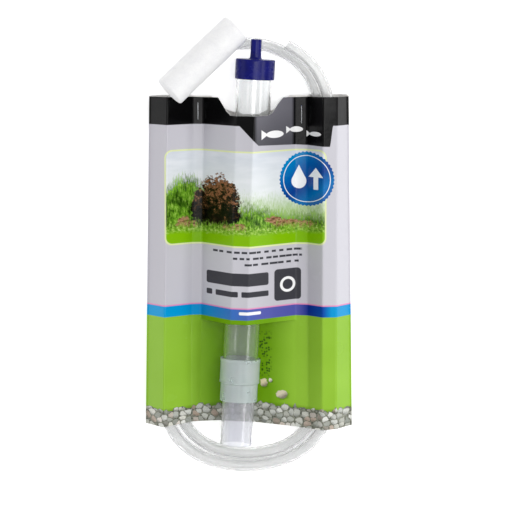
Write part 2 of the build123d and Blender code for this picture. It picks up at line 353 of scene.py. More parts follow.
def soft_pvc():
    """Clear soft hose: faintly clouded, slightly rough, with a fine grain."""
    n = Nodes("soft_pvc")
    at = n.coords()
    cloud = n.noise(at, 60, 3)
    grain = n.noise(at, 900, 2)
    n.set(
        Base_Color=n.ramp(cloud, [(0.3, srgb(246, 247, 247)), (0.7, srgb(252, 252, 252))]),
        Transmission_Weight=0.78,
        IOR=1.36,
        Roughness=n.remap(cloud, 0.3, 0.7, 0.14, 0.24),
        Normal=n.bump(grain, 0.0001, 0.04),
    )
    return n.mat


def melamine_foam():
    """White foam of fine open cells."""
    n = Nodes("melamine_foam")
    at = n.coords()
    cells = n.voronoi(at, 1300, dims="3D").outputs["Distance"]
    soft = n.noise(at, 150, 4)
    pores = n.remap(cells, 0.1, 0.6, 0.0, 1.0)
    shade = n.ramp(soft, [(0.3, srgb(246, 246, 248)), (0.7, srgb(254, 254, 254))])
    pits = n.ramp(pores, [(0.0, srgb(205, 205, 205)), (1.0, srgb(255, 255, 255))])
    n.set(
        Base_Color=n.multiply(0.16, shade, pits),
        Roughness=0.95,
        Subsurface_Weight=0.3,
        Subsurface_Radius=(0.004, 0.004, 0.004),
        Normal=n.bump(pores, 0.0005, 0.45, n.bump(soft, 0.001, 0.3)),
    )
    return n.mat


def staple_wire():
    """Steel wire with marks drawn out along it."""
    n = Nodes("staple_wire")
    x, y, z = n.xyz(n.coords())
    drawn = n.noise(n.vector(x, n.math("MULTIPLY", y, 0.05), z), 4000, 3)
    n.set(
        Base_Color=n.ramp(drawn, [(0.3, srgb(176, 178, 182)), (0.7, srgb(214, 216, 220))]),
        Metallic=1.0,
        Roughness=n.remap(drawn, 0.3, 0.7, 0.22, 0.42),
    )
    return n.mat


def moulded_white():
    """Plain white moulding with a fine grain."""
    n = Nodes("moulded_white")
    at = n.coords()
    cloud = n.noise(at, 300, 3)
    n.set(
        Base_Color=n.ramp(cloud, [(0.3, srgb(222, 226, 226)), (0.7, srgb(238, 241, 240))]),
        Roughness=n.remap(cloud, 0.3, 0.7, 0.35, 0.5),
        Normal=n.bump(n.noise(at, 1500, 2), 0.0001, 0.3),
    )
    return n.mat


def grey_board():
    """The card's unprinted side and its cut edges: short fibres in a pale board."""
    n = Nodes("grey_board")
    at = n.card_coords()
    fibre = n.noise(at, 1.6, 4, 0.7)
    speck = n.noise(at, 5.0, 2, 0.6)
    n.set(
        Base_Color=n.multiply(
            0.25,
            n.ramp(fibre, [(0.3, srgb(232, 230, 227)), (0.7, srgb(246, 245, 243))]),
            n.ramp(speck, [(0.35, srgb(206, 202, 198)), (0.6, srgb(255, 255, 255))]),
        ),
        Roughness=0.85,
        Normal=n.bump(fibre, 0.0001, 0.3),
    )
    return n.mat


# ---- the print -------------------------------------------------------------------------
LIME = srgb(150, 197, 60)
LIME_DEEP = srgb(108, 158, 8)
SILVER = srgb(196, 194, 202)
SILVER_PALE = srgb(206, 205, 212)
INK = srgb(6, 6, 7)
INK_GREY = srgb(62, 62, 68)
WHITE = srgb(250, 250, 250)
BADGE_TEETH = 44


def rounded_box(n, x, y, cx, cy, half_w, half_h, r):
    """The mask of a rounded rectangle."""
    dx = n.math("SUBTRACT", n.math("ABSOLUTE", n.math("SUBTRACT", x, cx)), half_w - r)
    dy = n.math("SUBTRACT", n.math("ABSOLUTE", n.math("SUBTRACT", y, cy)), half_h - r)
    return n.below(n.length(n.math("MAXIMUM", dx, 0.0), n.math("MAXIMUM", dy, 0.0)), r)


def disc_length(n, x, y, cx, cy, rx, ry):
    """How far x, y is from an ellipse's middle, 1 on its edge."""
    dx = n.math("DIVIDE", n.math("SUBTRACT", x, cx), rx)
    dy = n.math("DIVIDE", n.math("SUBTRACT", y, cy), ry)
    return n.length(dx, dy)


def disc(n, x, y, cx, cy, rx, ry, soft=0.03):
    """The mask of an ellipse; soft is a share of its radius."""
    return n.below(disc_length(n, x, y, cx, cy, rx, ry), 1.0, soft)


def wedge(n, x, y, tip_x, tip_y, slope, foot_y):
    """The mask of a triangle that points up."""
    side = n.math("MULTIPLY", n.math("ABSOLUTE", n.math("SUBTRACT", x, tip_x)), slope)
    inside = n.above(n.math("SUBTRACT", n.math("SUBTRACT", tip_y, y), side), 0.0, 0.2)
    return n.all(inside, n.above(y, foot_y, 0.1))


def fish(n, x, y, cx, cy, size):
    """A plain fish: an ellipse and a wedge of a tail."""
    body = disc(n, x, y, cx, cy, size, 0.42 * size)
    back = n.math("SUBTRACT", cx - 0.8 * size, x)
    off = n.math("ABSOLUTE", n.math("SUBTRACT", y, cy))
    fan = n.math("SUBTRACT", n.math("MULTIPLY", back, 0.75), off)
    tail = n.all(n.above(fan, 0.0, 0.1), n.below(back, 0.75 * size, 0.1))
    return n.any(body, tail)


def word_row(n, x, y, cy, half_h, x0, x1, word, seed):
    """A row of bars of uneven length, where small print would be."""
    spot = n.add("ShaderNodeTexWhiteNoise", noise_dimensions="1D")
    cell = n.math("FLOOR", n.math("DIVIDE", n.math("ADD", x, seed), word))
    n.put(n.math("ADD", cell, seed), spot.inputs["W"])
    part = n.math("FRACT", n.math("DIVIDE", n.math("ADD", x, seed), word))
    gap = n.math("GREATER_THAN", n.math("MULTIPLY_ADD", spot.outputs["Value"], 0.5, 0.48), part)
    return n.all(gap, n.band(x, x0, x1), n.band(y, cy - half_h, cy + half_h))


def stones(n, at, under, top, size, mortar):
    """One layer of printed stones whose middles lie under the line top."""
    moved = n.add("ShaderNodeVectorMath", operation="MULTIPLY_ADD")
    n.put(n.noise(at, 0.5, 2, out="Color"), moved.inputs[0])
    moved.inputs[1].default_value = (1.6, 1.3, 0)
    n.put(at, moved.inputs[2])
    flat = moved.outputs[0]
    cell = n.voronoi(flat, 1 / size)
    edge = n.voronoi(flat, 1 / size, "DISTANCE_TO_EDGE").outputs["Distance"]
    px, py, _ = n.xyz(cell.outputs["Position"])
    hue, tone, lot = n.xyz(cell.outputs["Color"])
    x, y, _ = n.xyz(flat)
    inside = n.below(py, top, 0.05)
    round_off = n.math("MULTIPLY", n.math("SUBTRACT", 0.5, cell.outputs["Distance"]), 0.55)
    shape = n.math("ADD", n.math("MULTIPLY", edge, 1.3), round_off)
    face = n.remap(shape, 0.1, 0.17)
    stone = n.ramp(
        hue,
        [
            (0.0, srgb(196, 198, 190)),
            (0.22, srgb(238, 239, 235)),
            (0.42, srgb(168, 172, 164)),
            (0.6, srgb(228, 227, 218)),
            (0.74, srgb(246, 246, 243)),
            (0.86, srgb(205, 184, 168)),
            (1.0, srgb(150, 156, 152)),
        ],
    )
    tones = n.ramp(tone, [(0.0, srgb(176, 180, 176)), (0.7, srgb(255, 255, 255))])
    stone = n.multiply(0.5, stone, tones)
    lift = n.math("MULTIPLY", n.math("SUBTRACT", x, px), n.math("SUBTRACT", lot, 0.2))
    lit = n.remap(n.math("ADD", n.math("SUBTRACT", y, py), lift), -0.55 * size, 0.3 * size)
    shade = n.ramp(lit, [(0.0, srgb(146, 149, 144)), (0.6, srgb(255, 255, 254))])
    stone = n.multiply(0.75, stone, shade)
    vein = n.noise(at, 1.6, 4, 0.65)
    veins = n.ramp(vein, [(0.38, srgb(160, 160, 152)), (0.58, srgb(255, 255, 255))])
    stone = n.multiply(0.45, stone, veins)
    return n.mix(inside, under, n.mix(face, mortar, stone))


def pebbles(n, at, x, y, under, top):
    """Printed pebbles up to the line top: a deeper layer of small ones, and larger ones on it."""
    gap = n.ramp(n.noise(at, 0.7, 3), [(0.35, srgb(74, 76, 66)), (0.65, srgb(150, 152, 138))])
    out = stones(n, at, under, n.math("ADD", top, 0.4), 2.9, gap)
    deep = n.multiply(n.below(y, top, 1.2), out, srgb(206, 208, 200))
    aside = n.vector(n.math("ADD", x, 31.0), y)
    return stones(n, aside, deep, n.math("SUBTRACT", top, 0.6), 4.3, gap)


def loose_pebble(n, x, y, under, cx, cy, rx, ry, colour):
    """One uneven pebble, lit from the upper left, with its printed shadow."""
    spot = n.vector(x, y)
    x = n.math("ADD", x, n.sway(n.noise(spot, 0.45, 2), 2.4))
    y = n.math("ADD", y, n.sway(n.noise(spot, 0.6, 2), 2.4))
    shadow = n.math("MULTIPLY", disc(n, x, y, cx + 0.5, cy - 0.7, rx, ry, 0.3), 0.7)
    under = n.mix(shadow, under, srgb(60, 92, 14))
    middle = n.math("MULTIPLY_ADD", x, 0.5, cy - 0.5 * cx)
    lit = n.remap(n.math("SUBTRACT", y, middle), -ry, ry)
    dark = tuple(0.35 * v for v in colour[:3]) + (1.0,)
    tone = n.ramp(lit, [(0.1, dark), (0.6, colour)])
    return n.mix(disc(n, x, y, cx, cy, rx, ry, 0.08), under, tone)


class Picture:
    """The textures that the card's picture shares; rise is a share of its height."""

    def __init__(self, n, at, x, y, low, high):
        self.n = n
        self.at = at
        self.x = x
        self.y = y
        self.rise = n.math("DIVIDE", n.math("SUBTRACT", y, low), high - low)
        self.coarse = n.noise(at, 0.13, 4, 0.6)
        self.leaf = n.noise(at, 0.5, 4, 0.7)
        self.blade = n.noise(n.vector(x, n.math("MULTIPLY", y, 0.25)), 0.85, 4, 0.7)
        self.rough = n.math("ADD", n.sway(self.leaf, 0.9), n.sway(self.coarse, 0.9))

    def lump(self, rough, cx, cy, rx, ry):
        """The mask of a rough-edged boulder."""
        far = disc_length(self.n, self.x, self.rise, cx, cy, rx, ry)
        return self.n.below(self.n.math("ADD", far, rough), 1.0, 0.05)

    def water(self):
        n = self.n
        haze = n.noise(n.vector(n.math("MULTIPLY", self.x, 0.3), self.y), 0.16, 2)
        water = n.ramp(
            self.rise,
            [(0.3, srgb(206, 224, 186)), (0.6, srgb(226, 231, 232)), (1.0, srgb(212, 218, 226))],
        )
        return n.mix(n.remap(haze, 0.4, 0.7, 0.0, 0.5), water, srgb(240, 242, 246))

    def far_plants(self, under):
        """A thin veil of plants across the back."""
        n = self.n
        veil = n.math("ADD", n.remap(self.x, -20, 52, 0.5, 0.4), n.sway(self.blade, 0.5))
        share = n.math("MULTIPLY", n.below(self.rise, veil, 0.1), 0.65)
        return n.mix(share, under, srgb(150, 184, 92))

    def near_plants(self, under):
        """Lush stems at the left, and lower ones in the middle."""
        n = self.n
        left = n.remap(n.math("ABSOLUTE", n.math("ADD", self.x, 44.0)), 6, 30, 0.7, 0.3)
        middle = n.remap(n.math("ABSOLUTE", n.math("SUBTRACT", self.x, 2.0)), 2, 24, 0.42, 0.3)
        crown = n.math("ADD", n.math("MAXIMUM", left, middle), n.sway(self.blade, 0.42))
        plant = n.ramp(
            self.blade,
            [
                (0.3, srgb(26, 56, 8)),
                (0.45, srgb(84, 134, 26)),
                (0.55, srgb(122, 176, 48)),
                (0.68, srgb(186, 214, 110)),
            ],
        )
        shade = n.ramp(self.coarse, [(0.38, srgb(96, 120, 84)), (0.56, srgb(255, 255, 255))])
        return n.mix(n.below(self.rise, crown, 0.06), under, n.multiply(0.9, plant, shade))

    def boulder(self, under):
        n = self.n
        knots = n.math("MULTIPLY", n.noise(self.at, 0.26, 6, 0.78), 0.85)
        toward_top = n.math("MULTIPLY", n.math("SUBTRACT", self.rise, 0.36), 0.4)
        bark = n.ramp(
            n.math("ADD", knots, toward_top),
            [
                (0.36, srgb(4, 4, 2)),
                (0.45, srgb(22, 20, 8)),
                (0.48, srgb(74, 46, 26)),
                (0.5, srgb(34, 40, 10)),
                (0.55, srgb(168, 112, 78)),
                (0.6, srgb(52, 30, 14)),
            ],
        )
        big = self.lump(self.rough, -21.0, 0.42, 15.0, 0.3)
        beside = self.lump(self.rough, -33.0, 0.36, 7.0, 0.24)
        return n.mix(n.any(big, beside), under, bark)

    def driftwood(self, under):
        n = self.n
        grain = n.noise(n.vector(n.math("MULTIPLY", self.x, 0.45), self.y), 0.6, 5, 0.7)
        wood = n.ramp(
            grain,
            [
                (0.32, srgb(34, 22, 12)),
                (0.45, srgb(124, 88, 62)),
                (0.56, srgb(190, 146, 110)),
                (0.66, srgb(90, 84, 40)),
            ],
        )
        logs = (
            (-46.0, 0.22, 5.0, 0.075),
            (-40.0, 0.17, 5.0, 0.06),
            (-12.0, 0.17, 7.0, 0.06),
            (-6.0, 0.2, 5.0, 0.045),
            (17.0, 0.27, 6.0, 0.035),
            (26.0, 0.23, 8.0, 0.04),
            (36.0, 0.19, 9.0, 0.05),
            (44.0, 0.14, 6.0, 0.04),
        )
        torn = n.math("MULTIPLY", self.rough, 1.9)
        for log in logs:
            under = n.mix(self.lump(torn, *log), under, wood)
        return under

    def carpet(self, under):
        """Low plants over the feet of all that, and the plain strip below them."""
        n = self.n
        lawn = n.ramp(
            self.leaf,
            [
                (0.3, srgb(50, 92, 14)),
                (0.45, srgb(112, 162, 40)),
                (0.56, srgb(152, 196, 70)),
                (0.68, srgb(210, 224, 150)),
            ],
        )
        meadow = n.math("ADD", 0.2, n.sway(self.blade, 0.3))
        out = n.mix(n.below(self.rise, meadow, 0.04), under, lawn)
        strip = n.math("ADD", 0.12, n.sway(self.coarse, 0.08))
        return n.mix(n.below(self.rise, strip, 0.02), out, srgb(130, 186, 8))


def aquascape(n, at, x, y, low, high):
    """A planted tank of our own design between the heights low and high."""
    picture = Picture(n, at, x, y, low, high)
    out = picture.water()
    out = picture.far_plants(out)
    out = picture.near_plants(out)
    out = picture.boulder(out)
    out = picture.driftwood(out)
    return picture.carpet(out)


def badge(n, x, y, under, cx, cy, r):
    """Round sticker with a serrated rim and a plain drop and arrow for its sign."""
    dx, dy = n.math("SUBTRACT", x, cx), n.math("SUBTRACT", y, cy)
    far = n.length(dx, dy)
    turn = n.math("MULTIPLY", n.math("ARCTAN2", dy, dx), BADGE_TEETH / math.pi / 2)
    teeth = n.math("MULTIPLY", n.math("PINGPONG", turn, 0.5), 1.5)
    rim = n.below(n.math("ADD", far, teeth), r, 0.1)
    slant = n.math("ADD", n.math("MULTIPLY", dx, 0.6), n.math("MULTIPLY", dy, -0.8))
    fill = n.ramp(
        n.remap(slant, -r, r),
        [
            (0.0, srgb(0, 140, 200)),
            (0.3, srgb(0, 96, 170)),
            (0.55, srgb(16, 62, 140)),
            (0.8, srgb(0, 112, 180)),
            (1.0, srgb(40, 92, 166)),
        ],
    )
    ring = n.band(far, r - 3.3, r - 2.8, 0.12)
    drop_x, arrow_x = cx - 5.4, cx + 6.2
    drop = n.any(
        disc(n, x, y, drop_x, cy - 1.6, 5.2, 5.2),
        wedge(n, x, y, drop_x, cy + 9.6, 1.95, cy),
    )
    arrow = n.any(
        rounded_box(n, x, y, arrow_x, cy - 2.2, 1.6, 5.0, 0.5),
        wedge(n, x, y, arrow_x, cy + 8.0, 1.35, cy + 1.4),
    )
    return n.mix(n.any(ring, drop, arrow), n.mix(rim, under, fill), WHITE)


def black_header(n, x, y, under):
    """The black band across the top, stepping down to the right, with a painted reflection in paler
    grey on the raised slope.
    """
    step = n.remap(x, -6.4, 6.6, 96.6, 83.2)
    tilt = n.remap(x, 6.6, 56.0, 0.0, -1.7)
    rise = n.remap(x, 55.8, 58.4, 0.0, 14.6, smooth=True)
    edge = n.math("ADD", n.math("ADD", step, tilt), rise)
    # Painted reflection: the slope between these folds is painted paler grey, more so towards the
    # top.
    slope = n.all(n.remap(x, 3.6, 6.0), n.remap(x, 31.6, 29.6))
    painted_reflection = n.all(slope, n.remap(y, 84.0, 108.0, 0.55, 1.0))
    return n.mix(n.above(y, edge, 0.18), under, n.mix(painted_reflection, INK, srgb(112, 111, 119)))


def blue_band(n, x, y, under):
    """The pink hairline and the blue band under it, its tones stepping at the folds: partly print,
    partly painted shade and light of the facets.
    """
    # Painted shade and light: the dark blue on the rising facet at the right and the bright cyan
    # past the ridge stand for the facets' shade and light; the sweep from cyan to violet under them
    # is the print's.
    share = n.remap(x, -72.0, 72.0)
    blue = n.ramp(
        share,
        [
            (0.0, srgb(0, 158, 218)),
            (0.25, srgb(0, 150, 214)),
            (0.42, srgb(60, 112, 190)),
            (0.56, srgb(86, 92, 172)),
            (0.74, srgb(84, 88, 170)),
            (0.79, srgb(6, 46, 144)),
            (0.86, srgb(0, 74, 168)),
            (0.9, srgb(0, 150, 212)),
        ],
    )
    out = n.mix(n.band(y, -29.8, -28.7), under, srgb(226, 140, 186))
    return n.mix(n.band(y, -37.1, -29.6), out, blue)


def printed_front():
    """The front's print, laid out in millimetres on the card's axes."""
    n = Nodes("printed_front")
    at = n.card_coords()
    x, y, _ = n.xyz(at)
    flat = n.vector(x, y)

    # Lime ground, darker towards the middle with painted shade of the tent, and silver zone
    # Painted shade: the lime is deeper within 12 mm of the middle and fades out by 44 mm, where the
    # tent shades the tray.
    deep = n.remap(n.math("ABSOLUTE", n.math("ADD", x, 6.0)), 12.0, 44.0, 1.0, 0.0, smooth=True)
    mottle = n.remap(n.noise(flat, 0.02, 2), 0.3, 0.7, 0.0, 0.25)
    lime = n.mix(n.math("ADD", deep, mottle, clamp=True), LIME, LIME_DEEP)
    silver = n.ramp(
        n.remap(x, -70, 70),
        [(0.0, SILVER), (0.35, SILVER_PALE), (0.6, SILVER), (1.0, SILVER_PALE)],
    )
    out = n.mix(n.above(y, -29.5), lime, silver)

    # Picture with its pale outline
    middle_x, middle_y, half_w, half_h = -2.4, 46.1, 55.0, 32.1
    outline = rounded_box(n, x, y, middle_x, middle_y, half_w + 1.1, half_h + 1.1, 5.4)
    out = n.mix(outline, out, srgb(226, 234, 176))
    panel = rounded_box(n, x, y, middle_x, middle_y, half_w, half_h, 4.4)
    low, high = middle_y - half_h, middle_y + half_h
    out = n.mix(panel, out, aquascape(n, flat, x, y, low, high))

    # Header and its emblem
    out = black_header(n, x, y, out)
    emblem = n.any(
        fish(n, x, y, 18.0, 90.4, 6.0),
        fish(n, x, y, 33.0, 93.0, 4.6),
        fish(n, x, y, 46.0, 90.0, 3.8),
    )
    out = n.mix(emblem, out, WHITE)

    # Rows of small print, title bars, size square
    rows = n.any(
        word_row(n, x, y, 9.6, 0.75, -25.0, 37.0, 5.2, 31.0),
        word_row(n, x, y, 5.4, 0.75, -12.0, 37.0, 4.6, 57.0),
        word_row(n, x, y, 1.2, 0.75, -4.0, 37.0, 5.8, 90.0),
    )
    out = n.mix(rows, out, INK_GREY)
    title = n.any(
        rounded_box(n, x, y, -8.0, -9.2, 21.6, 4.4, 1.4),
        rounded_box(n, x, y, -27.6, -19.4, 2.0, 1.9, 0.7),
        rounded_box(n, x, y, -15.4, -19.4, 7.8, 1.9, 0.7),
        rounded_box(n, x, y, 4.2, -19.4, 9.4, 1.9, 0.7),
    )
    square = rounded_box(n, x, y, 27.0, -14.6, 9.4, 11.0, 2.4)
    out = n.mix(n.any(title, square), out, INK_GREY)
    ring = n.length(n.math("SUBTRACT", x, 27.0), n.math("SUBTRACT", y, -14.6))
    out = n.mix(n.band(ring, 3.6, 5.4), out, WHITE)

    # Blue band with a plain mark
    out = blue_band(n, x, y, out)
    out = n.mix(rounded_box(n, x, y, 0.7, -32.5, 7.6, 1.05, 0.8), out, WHITE)

    # Sticker
    out = badge(n, x, y, out, 40.2, 58.6, 19.2)

    # Grit being drawn up, loose pebbles, bed of pebbles
    speck = n.voronoi(flat, 0.62)
    tone, _, _ = n.xyz(speck.outputs["Color"])
    grit = n.all(
        n.below(speck.outputs["Distance"], 0.42, 0.05),
        n.above(tone, 0.5, 0.02),
        n.band(x, 6.5, 15.5, 1.0),
        n.band(y, -80.0, -50.0, 3.0),
    )
    out = n.mix(n.math("MULTIPLY", grit, 0.9), out, srgb(34, 70, 8))
    out = loose_pebble(n, x, y, out, 10.4, -85.2, 2.6, 2.9, srgb(226, 214, 178))
    out = loose_pebble(n, x, y, out, 15.0, -83.4, 1.2, 1.3, srgb(228, 226, 206))
    out = loose_pebble(n, x, y, out, 23.0, -93.2, 4.0, 2.9, srgb(214, 204, 180))
    wave = n.math("SINE", n.math("MULTIPLY", n.math("ADD", x, 30.0), 0.055))
    bed = n.math("ADD", -100.4, n.math("MULTIPLY", wave, 1.8))
    out = pebbles(n, flat, x, y, out, bed)

    smear = n.noise(flat, 0.06, 3)
    ripple = n.noise(flat, 0.12, 2)
    n.set(
        Base_Color=out,
        Roughness=n.remap(smear, 0.35, 0.7, 0.2, 0.28),
        Specular_IOR_Level=0.12,
        Normal=n.bump(ripple, 0.0006, 0.25),
    )
    return n.mat


def printed_back():
    """The plainer print on the back."""
    n = Nodes("printed_back")
    at = n.card_coords()
    x, y, _ = n.xyz(at)
    flat = n.vector(x, y)
    lime = n.mix(n.remap(n.noise(flat, 0.02, 2), 0.3, 0.7), LIME, LIME_DEEP)
    out = n.mix(n.above(y, -29.5), lime, SILVER_PALE)
    out = n.mix(n.above(y, 96.0), out, INK)
    out = blue_band(n, x, y, out)
    for k in range(8):
        row_y = 84.0 - 7.0 * k
        end = 30.0 - 5.0 * (k % 3)
        word = 5.0 + 0.4 * (k % 4)
        out = n.mix(word_row(n, x, y, row_y, 0.9, -30.0, end, word, 20.0 + 13 * k), out, INK_GREY)
    for cx in (-20.0, 0.0, 20.0):
        out = n.mix(rounded_box(n, x, y, cx, 6.0, 8.6, 10.0, 1.6), out, srgb(186, 206, 140))
        out = n.mix(disc(n, x, y, cx, 6.0, 4.4, 5.4), out, srgb(96, 138, 60))
    out = pebbles(n, flat, x, y, out, -100.0)
    smear = n.noise(flat, 0.06, 3)
    n.set(
        Base_Color=out,
        Roughness=n.remap(smear, 0.35, 0.7, 0.2, 0.32),
        Coat_Weight=0.25,
        Coat_Roughness=0.1,
        Normal=n.bump(n.noise(flat, 0.12, 2), 0.0006, 0.25),
    )
    return n.mat


# ---- camera and lights -----------------------------------------------------------------
EYE = (4.2, 196.6, 1868.0)  # on the card's axes
AIM = (4.2, 3.9, 0.0)
LENS = 188.5
SKY = 0.55
FLOOR_GLOW = 0.52  # the floor is a light table
FLOOR_SIDE = 12.0  # half of it, in metres
FLOOR_Z = -0.0003


def make_camera():
    data = bpy.data.cameras.new("camera")
    data.lens = LENS
    data.clip_end = 20
    cam = bpy.data.objects.new("camera", data)
    back = (on_card(*EYE) - on_card(*AIM)).normalized()
    right = (on_card(1, 0, 0) - on_card(0, 0, 0)).normalized()
    up = back.cross(right)
    turn = Matrix((right, up, back)).transposed().to_4x4()
    cam.matrix_world = Matrix.Translation(on_card(*EYE)) @ turn
    bpy.context.scene.collection.objects.link(cam)
    bpy.context.scene.camera = cam


def area_light(name, at, aim, size, power):
    data = bpy.data.lights.new(name, "AREA")
    data.shape = "RECTANGLE"
    data.size, data.size_y = size
    data.energy = power
    lamp = bpy.data.objects.new(name, data)
    lamp.location = at
    lamp.rotation_euler = (Vector(aim) - Vector(at)).to_track_quat("-Z", "Y").to_euler()
    bpy.context.scene.collection.objects.link(lamp)


def make_floor():
    corners = [(x, y, FLOOR_Z) for x, y in ((-1, -1), (1, -1), (1, 1), (-1, 1))]
    corners = [(x * FLOOR_SIDE, y * FLOOR_SIDE, z) for x, y, z in corners]
    mesh = mesh_from("floor", corners, [(0, 1, 2, 3)])
    ob = bpy.data.objects.new("floor", mesh)
    bpy.context.scene.collection.objects.link(ob)
    n = Nodes("floor")
    cloud = n.noise(n.coords(), 3, 2)
    n.set(
        Base_Color=n.ramp(cloud, [(0.3, srgb(246, 246, 246)), (0.7, srgb(250, 250, 250))]),
        Roughness=0.7,
        Specular_IOR_Level=0.2,
        Emission_Color=(1.0, 1.0, 1.0, 1.0),
        Emission_Strength=FLOOR_GLOW,
    )
    mesh.materials.append(n.mat)


def make_studio():
    world = bpy.data.worlds.new("studio")
    bpy.context.scene.world = world
    world.use_nodes = True
    sky = world.node_tree.nodes["Background"]
    sky.inputs["Color"].default_value = (1.0, 1.0, 1.0, 1.0)
    sky.inputs["Strength"].default_value = SKY
    area_light("right", (0.98, 0.05, 0.92), (0, 0, 0), (1.2, 0.4), 5.0)
    area_light("left", (-0.95, 0.0, 0.36), (0, 0, 0.02), (1.4, 0.3), 0.9)
    area_light("top", (0.35, 0.2, 1.55), (0, 0, 0), (0.35, 1.2), 8.0)
    make_floor()
    bpy.context.scene.view_settings.view_transform = "Standard"


make_camera()
make_studio()


# ---- hose ------------------------------------------------------------------------------
# The route that the CAD's hose takes, on the card's axes: two turns, from the bare end at the
# upper right to the one in the left channel
HOSE_ROUTE = [
    (26.0, 151.4, 13.1),
    (37.4, 144.4, 13.4),
    (47.2, 133.6, 13.4),
    (54.0, 118.6, 12.6),
    (57.8, 98.0, 9.4),
    (58.6, 64.0, HOSE_IN),
    (58.3, 8.0, HOSE_IN),
    (58.9, -44.0, HOSE_IN),
    (58.5, -80.0, HOSE_IN),
    (57.0, -104.0, HOSE_IN),
    (49.4, -124.2, 4.7),
    (33.2, -137.8, HOSE_LIE),
    (11.8, -144.7, HOSE_LIE),
    (-10.6, -145.5, HOSE_LIE),
    (-32.4, -140.4, HOSE_LIE),
    (-50.4, -127.6, 4.7),
    (-59.0, -109.0, HOSE_IN),
    (-59.8, -86.0, HOSE_IN),
    (-59.0, -50.0, HOSE_IN),
    (-58.6, -2.0, HOSE_IN),
    (-57.6, 44.0, HOSE_IN),
    (-58.0, 80.0, HOSE_IN),
    (-55.6, 106.0, HOSE_IN),
    (-46.8, 129.0, 4.6),
    (-30.8, 145.6, HOSE_LIE),
    (-9.0, 153.2, HOSE_LIE),
    (14.0, 151.6, HOSE_LIE),
    (34.0, 141.4, HOSE_LIE),
    (46.8, 123.4, 4.7),
    (50.6, 100.0, HOSE_IN),
    (49.4, 64.0, HOSE_IN),
    (49.8, 10.0, HOSE_IN),
    (49.4, -40.0, HOSE_IN),
    (49.8, -79.7, HOSE_IN),
    (48.6, -101.5, HOSE_IN),
    (41.6, -118.8, 4.7),
    (27.4, -130.6, HOSE_LIE),
    (9.5, -136.0, HOSE_LIE),
    (-8.4, -136.7, HOSE_LIE),
    (-26.3, -132.8, HOSE_LIE),
    (-41.8, -121.6, 4.7),
    (-50.6, -104.8, HOSE_IN),
    (-51.2, -86.0, HOSE_IN),
    (-49.5, -42.0, HOSE_IN),
    (-49.9, 6.0, HOSE_IN),
    (-48.9, 48.0, HOSE_IN),
    (-48.6, 84.0, HOSE_IN),
]


def nurbs_line(points, resolution):
    """Points along the NURBS spline that has these control points."""
    curve = bpy.data.curves.new("route", "CURVE")
    curve.dimensions = "3D"
    curve.resolution_u = resolution
    spline = curve.splines.new("NURBS")
    spline.points.add(len(points) - 1)
    for p, at in zip(spline.points, points, strict=True):
        p.co = (*at, 1.0)
    spline.order_u = 3
    spline.use_endpoint_u = True
    ob = bpy.data.objects.new("route", curve)
    bpy.context.scene.collection.objects.link(ob)
    mesh = bpy.data.meshes.new_from_object(ob.evaluated_get(bpy.context.evaluated_depsgraph_get()))
    line = [v.co.copy() for v in mesh.vertices]
    bpy.data.objects.remove(ob)
    bpy.data.curves.remove(curve)
    bpy.data.meshes.remove(mesh)
    return line


def tube_along(name, line, rings, around=24):
    """A closed tube's mesh along a line; rings are its outer and its inner radius."""
    points, faces = [], []
    normal = Vector((0, 0, 1))
    count = len(line)
    for i, p in enumerate(line):
        ahead = (line[min(i + 1, count - 1)] - line[max(i - 1, 0)]).normalized()
        side = ahead.cross(normal).normalized()
        normal = side.cross(ahead).normalized()
        for r in rings:
            for k in range(around):
                a = 2 * math.pi * k / around
                points.append(p + (side * math.cos(a) + normal * math.sin(a)) * r)
    per = around * len(rings)
    for i in range(count - 1):
        for j in range(len(rings)):
            for k in range(around):
                n = (k + 1) % around
                a, b = i * per + j * around, (i + 1) * per + j * around
                quad = (a + k, a + n, b + n, b + k)
                faces.append(quad if j == 0 else quad[::-1])
    for i in (0, count - 1):
        for k in range(around):
            n = (k + 1) % around
            a, b = i * per, i * per + around
            faces.append((a + k, b + k, b + n, a + n))
    mesh = mesh_from(name, points, faces)
    outward(mesh)
    return mesh


def make_hose():
    route = [on_card(*p) for p in HOSE_ROUTE]
    line = nurbs_line(route, 20)
    mesh = tube_along("hose", line, (HOSE_R * MM, HOSE_BORE_R * MM), around=28)
    mesh.materials.append(soft_pvc())
    ob = add_object("hose_tube", mesh, "pack", ["hose"], smooth=50)


make_hose()


# ---- intake pieces ---------------------------------------------------------------------
TUBE_EDGE, SLEEVE_EDGE, CAP_EDGE = 0.35, 0.5, 1.3  # how far their edges are rounded


def tube_profile(outer, inner, low, high):
    """The outline of a tube's wall."""
    wall = [(inner, low), (outer, low), (outer, high), (inner, high)]
    return soften(wall, TUBE_EDGE, closed=True)


